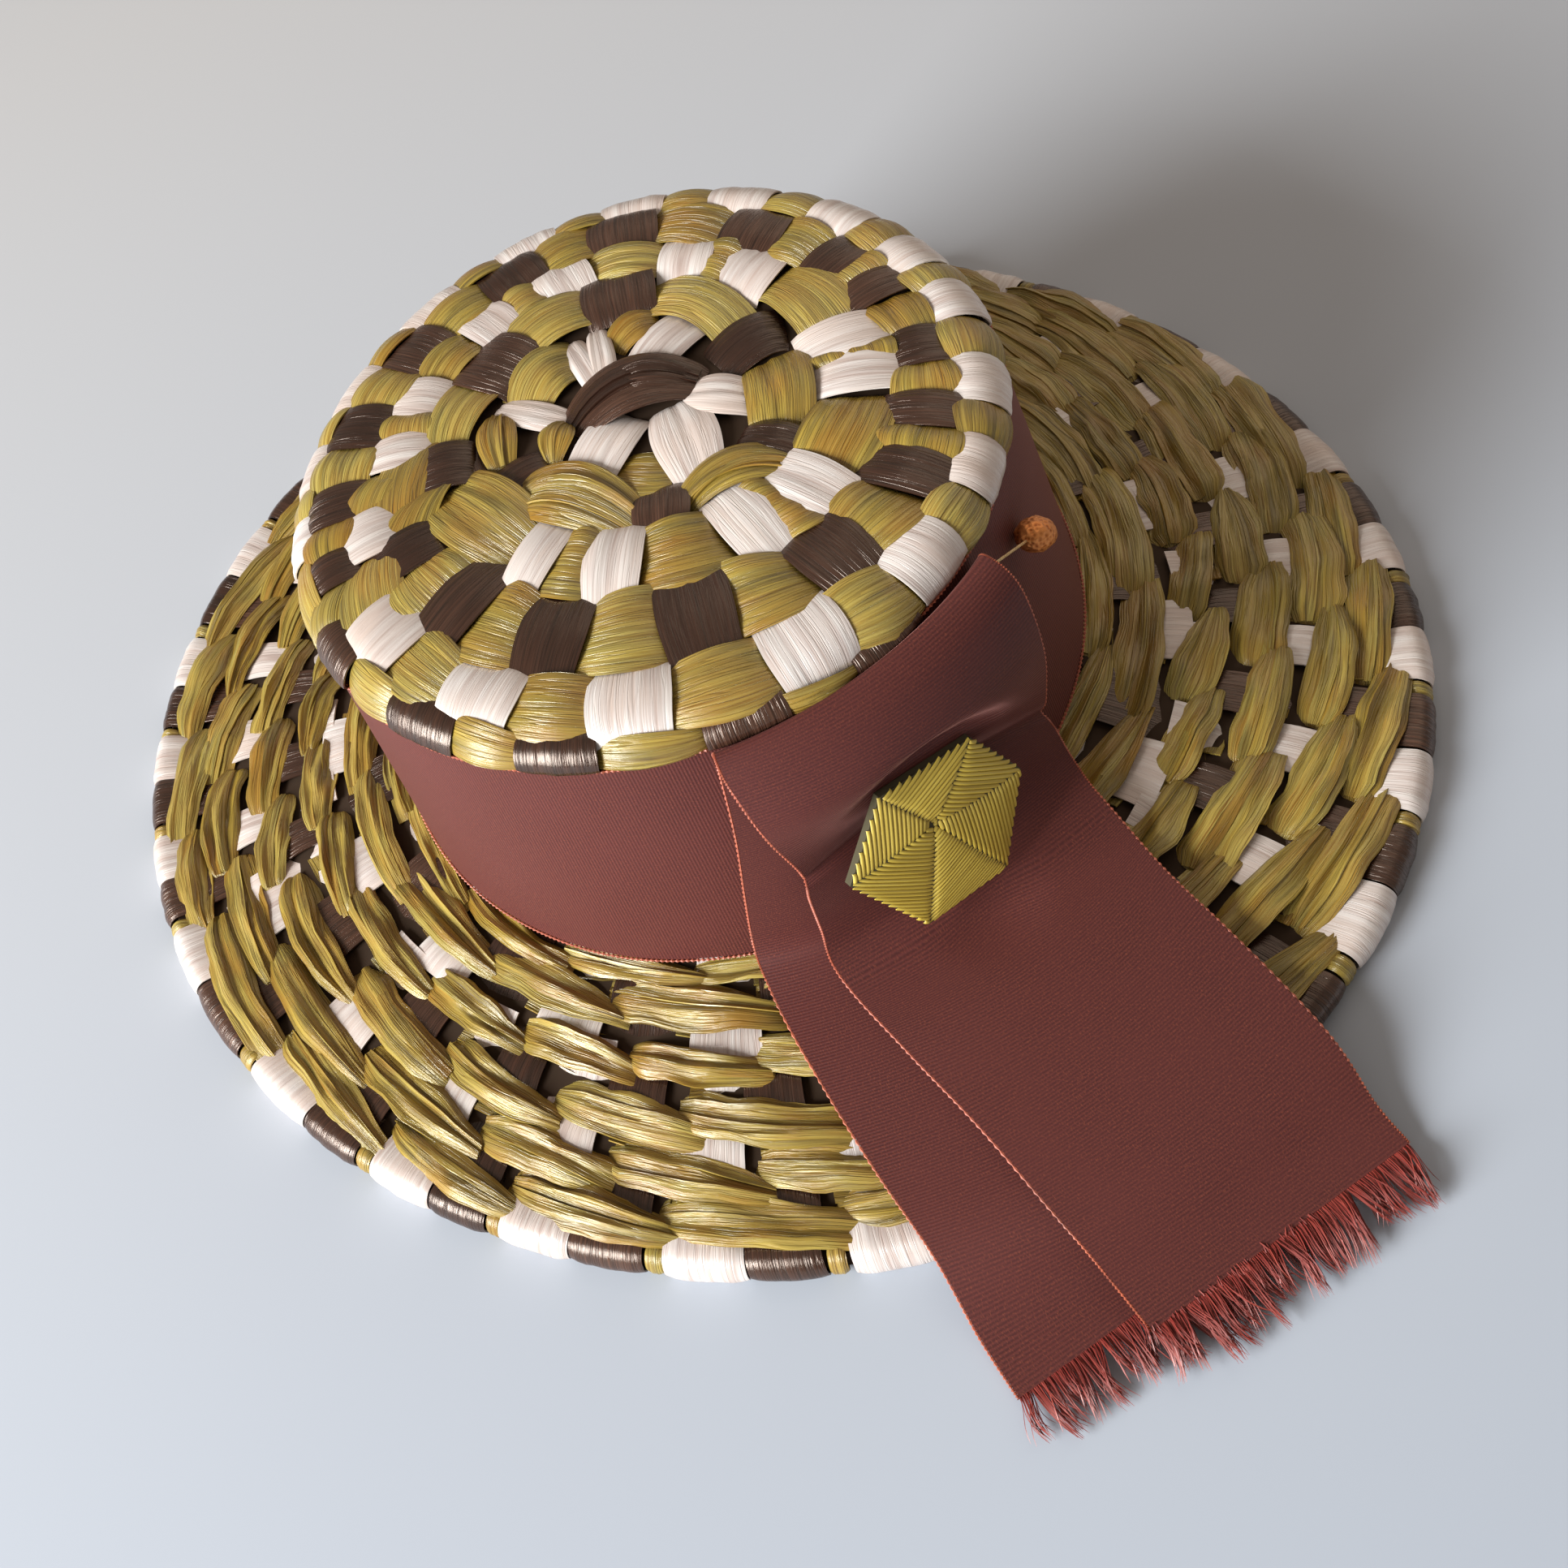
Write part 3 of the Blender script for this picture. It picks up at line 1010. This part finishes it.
# Button
# A hexagon of olive grosgrain holds the bow: one narrow ribbon folded to and fro over a form,
# so that six sectors of ribs meet at a pinched point a little off the middle.
BUTTON_CORNERS = ((22.0, 0.2), (14.0, 18.9), (-10.8, 23.2), (-26.0, 7.3), (-14.1, -20.4),
                  (9.2, -23.0))
BUTTON_EYE = Vector((-2.9, 7.0, 0.0))
BUTTON_SIDE = 2.2
BUTTON_DOME = 2.0
BUTTON_RIB = 1.05
BUTTON_RIB_HIGH = 0.34
BUTTON_SKEW = 23.0          # degrees from the outer edge's way to the ribs' way
BUTTON_SEED = 3
YARN = raffia("olive yarn", dyed(176, 146, 30), dyed(214, 184, 56), dyed(244, 226, 112),
              dyed(196, 164, 40), 0.5, 0.00005)
FELT = raffia("dark felt", dyed(48, 40, 8), dyed(70, 60, 14), dyed(92, 82, 24),
              dyed(60, 50, 12), 0.8, 0.00005)
button_side = Vector((0, 0, 1)).cross(button_out).normalized()
button_frame = Matrix((button_side, button_out.cross(button_side), button_out)).transposed()
BUTTON_PLACE = Matrix.Translation(BUTTON_AT) @ button_frame.to_4x4()
corners = [Vector((x, y, 0.0)) for x, y in BUTTON_CORNERS]
corners.append(corners[0])


def button_high(x, y):
    """Height of the folded ribbon over the button's back at a place on it."""
    away = 0.0
    for start, finish in zip(corners, corners[1:]):
        outward = Vector((finish.y - start.y, start.x - finish.x, 0.0))
        away = max(away, outward.dot(Vector((x, y, 0.0))) / outward.dot(start))
    eye = (Vector((x, y, 0.0)) - BUTTON_EYE).length
    dome = BUTTON_DOME * (1 - min(away, 1.0) ** 2.6)
    return BUTTON_SIDE + dome - 0.9 * math.exp(-(eye / 2.2) ** 2)


def button_rib(bm, first, last, tone):
    """One rounded rib between two points of a sector's folds."""
    wide = BUTTON_RIB * 0.92
    side = (last - first).cross(Vector((0, 0, 1))).normalized()

    def surface(a, b):
        place = first + (last - first) * a
        angle = b * math.pi / 2
        place = place + side * (math.sin(angle) * wide / 2)
        bed = button_high(place.x, place.y)
        dip = 0.42 * (1 - math.sin(math.pi * min(max(a, 0.0), 1.0)) ** 0.25)
        high = bed + BUTTON_RIB_HIGH * math.cos(angle) - dip
        return BUTTON_PLACE @ Vector((place.x, place.y, high))
    lay_strip(bm, surface, ((last - first).length, wide), (10, 6), tone, button_out)


rng = random.Random(BUTTON_SEED)
bm = bmesh.new()
for start, finish in zip(corners, corners[1:]):
    edge = (finish - start).normalized()
    way = Matrix.Rotation(math.radians(BUTTON_SKEW), 3, "Z") @ edge
    across = Vector((way.y, -way.x, 0.0))
    triangle = [BUTTON_EYE, start, finish]
    spread = [across.dot(corner) for corner in triangle]
    for number in range(int((max(spread) - min(spread)) / BUTTON_RIB)):
        level = min(spread) + (number + 0.5) * BUTTON_RIB
        crossed = []
        for one, two in zip(triangle, triangle[1:] + triangle[:1]):
            a, b = across.dot(one) - level, across.dot(two) - level
            if a * b < 0:
                crossed.append(one + (two - one) * (a / (a - b)))
        if len(crossed) == 2 and (crossed[0] - crossed[1]).length > 0.8:
            button_rib(bm, crossed[0], crossed[1], rng.uniform(0.3, 0.8))
finish_piece(bm, "button_ribs", YARN, "button", 0.25, 70.0)
# The form under the ribs: an even hexagon, cut fine, stretched to the corners and domed.
bm = bmesh.new()
bmesh.ops.create_circle(bm, cap_ends=True, cap_tris=True, segments=6, radius=1.0,
                        matrix=Matrix.Rotation(math.radians(30), 4, "Z"))
bmesh.ops.subdivide_edges(bm, edges=bm.edges, cuts=9, use_grid_fill=True)
for vert in bm.verts:
    place = (math.degrees(math.atan2(vert.co.y, vert.co.x)) + 0.01) % 360 / 60
    before, after = corners[int(place) % 6], corners[int(place) % 6 + 1]
    first, last = math.radians(60 * int(place)), math.radians(60 * int(place) + 60)
    far = (vert.co.x * math.sin(last) - vert.co.y * math.cos(last)) / math.sin(math.pi / 3)
    near = (vert.co.y * math.cos(first) - vert.co.x * math.sin(first)) / math.sin(math.pi / 3)
    vert.co = before * far + after * near
body = bmesh.ops.extrude_face_region(bm, geom=list(bm.faces))
for vert in [item for item in body["geom"] if isinstance(item, bmesh.types.BMVert)]:
    vert.co.z = button_high(vert.co.x, vert.co.y) - 0.15
bmesh.ops.transform(bm, matrix=BUTTON_PLACE, verts=bm.verts)
finish_piece(bm, "button_form", FELT, "button")

# Pin
# A decorative pin stands at the loop's upper right corner: a long bead of crumpled copper on
# a thin brass wire that runs into the ribbon.
PIN_HEAD_AT = Vector((70.4, -60.1, 82.8))
PIN_TIP_AT = Vector((55.5, -75.5, 99.0))
PIN_HEAD_LONG = 12.5
PIN_HEAD_ROUND = 9.2
PIN_SHANK_D = 0.65


def metal(name, deep, body, roughness, pits):
    """Worn metal, darker in its hollows, with a fine grain of pits."""
    made, tree, shader = new_material(name)
    place = node(tree, "TexCoord").outputs["Object"]
    cells = node(tree, "TexVoronoi", {"Vector": place, "Scale": pits}).outputs["Distance"]
    grain = node(tree, "TexNoise", {"Vector": place, "Scale": pits * 1.7, "Detail": 4.0})
    bump = node(tree, "Bump", {"Height": cells, "Strength": 0.7, "Distance": 0.0003})
    plug(tree, shader, {
        "Base Color": mixed(tree, ranged(tree, cells, 0.05, 0.55), deep, body),
        "Roughness": ranged(tree, grain.outputs["Fac"], 0.0, 1.0, roughness, roughness + 0.25),
        "Normal": bump.outputs[0], "Metallic": 0.75})
    return made


COPPER = metal("crumpled copper", dyed(168, 88, 36), dyed(236, 156, 90), 0.36, 900.0)
BRASS = metal("drawn brass", dyed(170, 130, 80), dyed(236, 206, 150), 0.22, 2000.0)
way = (PIN_TIP_AT - PIN_HEAD_AT).normalized()
pin_turn = way.to_track_quat("Z", "Y").to_matrix().to_4x4()
bm = bmesh.new()
bmesh.ops.create_icosphere(bm, subdivisions=5, radius=PIN_HEAD_ROUND / 2)
for vert in bm.verts:
    dent = noise.fractal(vert.co * 0.5, 1.0, 2.0, 4) * 0.5 - abs(noise.noise(vert.co * 1.3)) * 0.5
    vert.co *= 1 + dent * 0.10
    vert.co.y *= 0.85
bmesh.ops.scale(bm, vec=(1, 1, PIN_HEAD_LONG / PIN_HEAD_ROUND), verts=bm.verts)
bmesh.ops.transform(bm, matrix=Matrix.Translation(PIN_HEAD_AT) @ pin_turn, verts=bm.verts)
finish_piece(bm, "pin_bead", COPPER, "pin_head", 0.0, 80.0)
bm = bmesh.new()
start = PIN_HEAD_AT + way * (PIN_HEAD_LONG / 2 - 0.4)
long = (PIN_TIP_AT - start).length
bmesh.ops.create_cone(bm, cap_ends=True, segments=12, radius1=PIN_SHANK_D / 2,
                      radius2=PIN_SHANK_D / 2, depth=long)
bmesh.ops.transform(bm, matrix=Matrix.Translation(start + way * long / 2) @ pin_turn,
                    verts=bm.verts)
finish_piece(bm, "pin_wire", BRASS, "pin_shank")

# Table, light and camera
# The hat lies on a plain pale surface. A broad soft window light comes from the left, and a
# weak warm light from a wall behind it.
CAMERA_AT = (-0.00561, -0.32888, 0.42082)
CAMERA_DOWN = 53.78         # degrees that the camera looks down from the level
CAMERA_TURN = -25.33        # degrees that the picture is turned on its middle
bm = bmesh.new()
bmesh.ops.create_grid(bm, x_segments=2, y_segments=2, size=4.0)
mesh = bpy.data.meshes.new("floor")
bm.to_mesh(mesh)
bm.free()
floor = bpy.data.objects.new("floor", mesh)
bpy.context.scene.collection.objects.link(floor)
paper, tree, shader = new_material("pale paper")
place = node(tree, "SeparateXYZ", {0: node(tree, "TexCoord").outputs["Object"]}).outputs
slow = ranged(tree, place[1], -0.35, 0.45)
plug(tree, shader, {"Base Color": mixed(tree, slow, dyed(182, 191, 204), dyed(198, 198, 199)),
                    "Roughness": 0.9})
mesh.materials.append(paper)


def soft_light(name, place, aim, size, power, colour):
    """A square soft box that looks at a point."""
    lamp = bpy.data.lights.new(name, "AREA")
    lamp.size = size
    lamp.energy = power
    lamp.color = colour
    held = bpy.data.objects.new(name, lamp)
    held.location = place
    held.rotation_euler = (Vector(aim) - Vector(place)).to_track_quat("-Z", "Y").to_euler()
    bpy.context.scene.collection.objects.link(held)


soft_light("window", (-2.0, -0.66, 0.92), (0.0, 0.0, 0.05), 1.2, 116.0, (0.97, 0.99, 1.0))
soft_light("wall", (0.9, 0.7, 0.9), (0.0, 0.0, 0.0), 1.4, 4.0, (1.0, 0.84, 0.70))
world = bpy.data.worlds.new("room")
world.use_nodes = True
plug(world.node_tree, world.node_tree.nodes["Background"],
     {"Color": (1.0, 0.89, 0.79, 1.0), "Strength": 0.25})
bpy.context.scene.world = world
bpy.context.scene.view_settings.view_transform = "Standard"

camera = bpy.data.cameras.new("camera")
camera.lens = 44.70
camera.sensor_width = 36.0
camera.shift_x = 0.01624
camera.shift_y = -0.02115
camera.clip_start = 0.01
held = bpy.data.objects.new("camera", camera)
tilt = Matrix.Rotation(math.radians(90 - CAMERA_DOWN), 4, "X")
turned = Matrix.Rotation(math.radians(CAMERA_TURN), 4, "Z")
held.matrix_world = Matrix.Translation(CAMERA_AT) @ tilt @ turned
bpy.context.scene.collection.objects.link(held)
bpy.context.scene.camera = held
